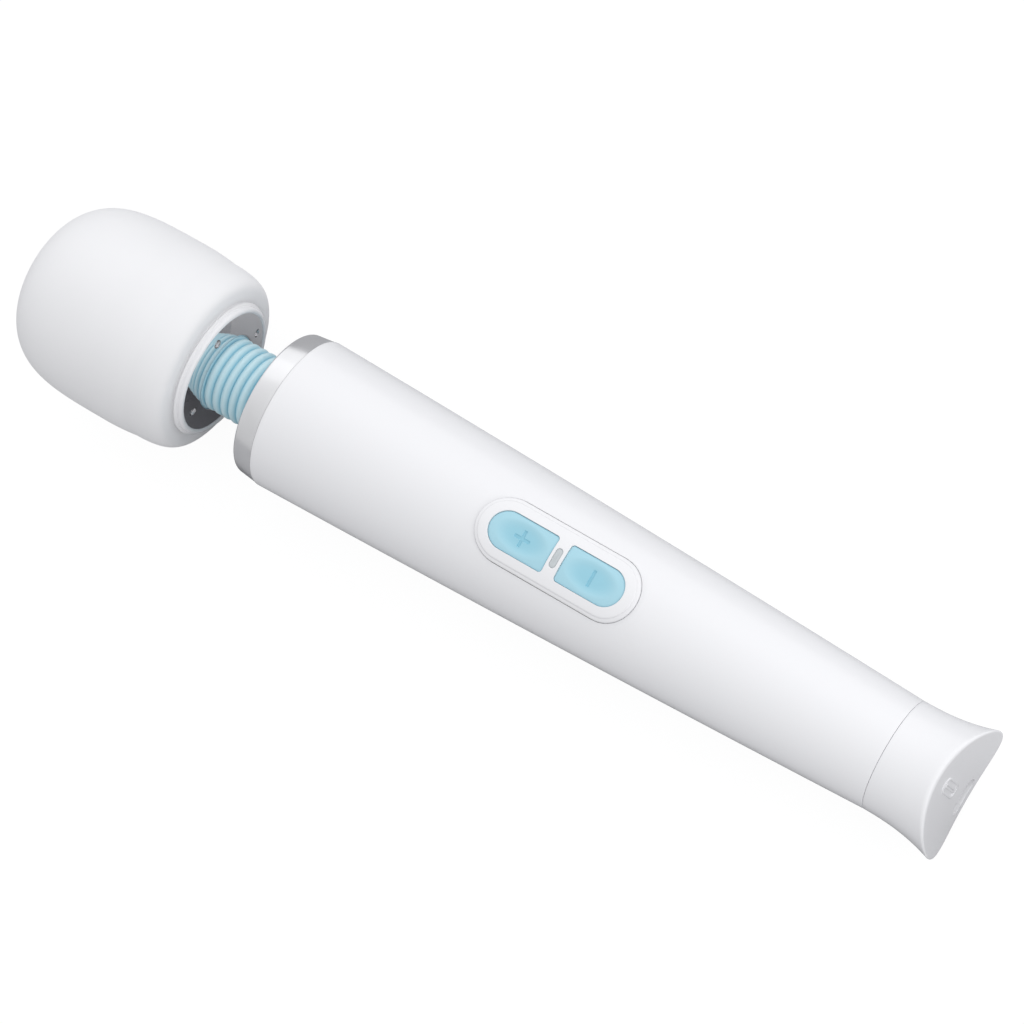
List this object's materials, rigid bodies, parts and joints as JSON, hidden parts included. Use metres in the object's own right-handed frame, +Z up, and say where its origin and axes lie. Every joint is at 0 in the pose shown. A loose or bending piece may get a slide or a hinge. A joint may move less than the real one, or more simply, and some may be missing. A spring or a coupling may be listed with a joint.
{
  "type": "handheld wand massager",
  "caption": "Cordless wand massager: soft round vibrating head on a ribbed flexible neck, tapered glossy handle with raised control panel, metal collar and scooped tail.",
  "frame": {"origin": "centre of the bounding box seen from above, on the plane the wand lies on", "axes": "+X along the wand towards the head, +Z up and out of the button panel, +Y to its left side seen from the tail"},
  "size_m": [0.3215, 0.0606, 0.061],
  "materials": {
    "soft_white_silicone": "soft matte white silicone",
    "gloss_white_plastic": "glossy white moulded plastic",
    "polished_aluminium": "polished, near mirror",
    "blue_silicone": "pale blue silicone, satin",
    "grey_lens": "translucent grey, satin",
    "inner_plastic": "dark grey moulded plastic",
    "spring_steel": "bright drawn steel",
    "dark_rubber": "matte black rubber",
    "brass": "turned brass",
    "red_wire": "red wire insulation",
    "black_wire": "black wire insulation",
    "board_green": "green solder mask",
    "chip_black": "black moulding compound",
    "battery_wrap": "blue shrink wrap over a metal can",
    "ferrite_grey": "dark sintered magnet and laminations"
  },
  "bodies": {
    "handle": {"handle_collar": "polished_aluminium", "handle_sleeve": "gloss_white_plastic", "tail_cap": "gloss_white_plastic", "neck_anchor": "inner_plastic", "anchor_clamp_ring": "polished_aluminium", "chassis_trough": "inner_plastic", "bulkhead_front": "inner_plastic", "bulkhead_rear": "inner_plastic", "battery_cell_front": "battery_wrap", "battery_cell_rear": "battery_wrap", "battery_tab_front": "spring_steel", "battery_tab_middle": "spring_steel", "battery_tab_rear": "spring_steel", "circuit_board": "board_green", "board_screw_1": "spring_steel", "board_screw_2": "spring_steel", "board_screw_3": "spring_steel", "board_screw_4": "spring_steel", "controller_chip": "chip_black", "motor_driver": "chip_black", "capacitor": "spring_steel", "plus_switch": "chip_black", "minus_switch": "chip_black", "status_led": "grey_lens", "led_lens": "grey_lens", "control_panel": "gloss_white_plastic", "panel_gasket": "dark_rubber", "charging_socket": "chip_black", "charge_lead_red": "red_wire", "charge_lead_black": "black_wire"},
    "neck": {"neck_boot": "blue_silicone", "neck_spring": "spring_steel", "motor_lead_red": "red_wire", "motor_lead_black": "black_wire"},
    "head": {"head_cover": "soft_white_silicone", "head_housing_front": "inner_plastic", "head_housing_rear": "inner_plastic", "head_bezel": "gloss_white_plastic", "head_plate": "polished_aluminium", "neck_coupling": "inner_plastic", "plate_screw_1": "polished_aluminium", "plate_screw_2": "polished_aluminium", "plate_screw_3": "polished_aluminium", "plate_screw_4": "polished_aluminium", "motor_can": "spring_steel", "motor_end_bell": "inner_plastic", "motor_magnet": "ferrite_grey", "motor_bushing_front": "brass", "motor_bushing_rear": "brass", "motor_cradle_front": "dark_rubber", "motor_cradle_rear": "dark_rubber"},
    "rotor": {"motor_shaft": "spring_steel", "motor_rotor": "ferrite_grey", "commutator": "brass", "eccentric_weight": "brass"},
    "plus_button": {"plus_button": "blue_silicone", "plus_plunger": "grey_lens"},
    "minus_button": {"minus_button": "blue_silicone", "minus_plunger": "grey_lens"}
  },
  "joints": [
    {"name": "neck_pitch", "type": "hinge", "parent": "handle", "child": "neck", "pos_m": [0.08404, 0, 0.029], "axis": [0, 1, 0], "range_deg": [-20, 20], "stiffness_Nm_per_rad": 4, "deforming": ["neck_boot", "neck_spring"]},
    {"name": "neck_yaw", "type": "hinge", "parent": "neck", "child": "head", "pos_m": [0.08404, 0, 0.029], "axis": [-0.038, 0, 0.9993], "range_deg": [-20, 20], "stiffness_Nm_per_rad": 4, "deforming": ["motor_lead_red", "motor_lead_black"]},
    {"name": "motor_spin", "type": "hinge", "parent": "head", "child": "rotor", "pos_m": [0.12006, 0, 0.03037], "axis": [0.9993, 0, 0.038], "continuous": true},
    {"name": "plus_press", "type": "slide", "parent": "handle", "child": "plus_button", "axis": [0.038, 0, -0.9993], "range_m": [0, 0.0008], "stiffness_N_per_m": 1500},
    {"name": "minus_press", "type": "slide", "parent": "handle", "child": "minus_button", "axis": [0.038, 0, -0.9993], "range_m": [0, 0.0008], "stiffness_N_per_m": 1500}
  ]
}
